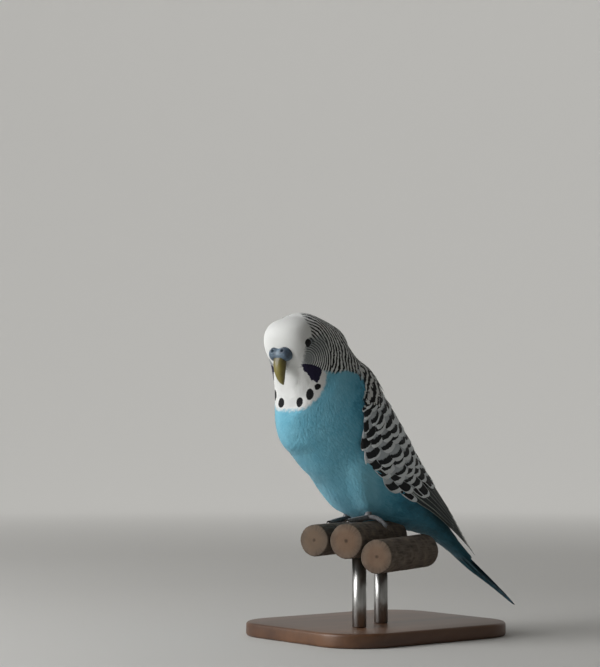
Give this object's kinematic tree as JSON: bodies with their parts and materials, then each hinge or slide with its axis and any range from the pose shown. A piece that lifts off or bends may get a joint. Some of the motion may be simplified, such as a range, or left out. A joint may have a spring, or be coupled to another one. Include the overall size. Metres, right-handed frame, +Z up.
{
  "type": "budgerigar",
  "caption": "Life-size adult male sky-blue budgerigar, standing still on cut round logs held by a flat display stand, with folded wings and a long tail.",
  "frame": {"origin": "centre of the underside of the stand's base", "axes": "+Z up; the bird's body faces -Y and its left side is +X"},
  "size_m": [0.084, 0.1447, 0.1393],
  "materials": {
    "white_plumage": "soft white feathers",
    "blue_plumage": "soft sky-blue feathers",
    "barred_plumage": "black feathers edged with white",
    "tail_plumage": "dark blue flight feathers",
    "eye": "wet black eye",
    "cere_skin": "slate-blue bare skin",
    "bill_horn": "olive-yellow horn",
    "foot_skin": "grey scaled skin",
    "log_wood": "round wood with bark, cut ends",
    "stand_wood": "waxed dark wood",
    "stand_metal": "brushed rod"
  },
  "bodies": {
    "root": {"head": "white_plumage", "neck": "blue_plumage", "torso": "blue_plumage", "thigh_left": "blue_plumage", "thigh_right": "blue_plumage", "wing_left": "barred_plumage", "wing_right": "barred_plumage", "tail": "tail_plumage", "eye_left": "eye", "eye_right": "eye", "cere": "cere_skin", "bill_upper": "bill_horn", "bill_lower": "bill_horn", "foot_left": "foot_skin", "foot_right": "foot_skin", "perch_log_1": "log_wood", "perch_log_2": "log_wood", "perch_log_3": "log_wood", "stand_base": "stand_wood", "stand_rod_1": "stand_metal", "stand_rod_2": "stand_metal"}
  },
  "joints": []
}
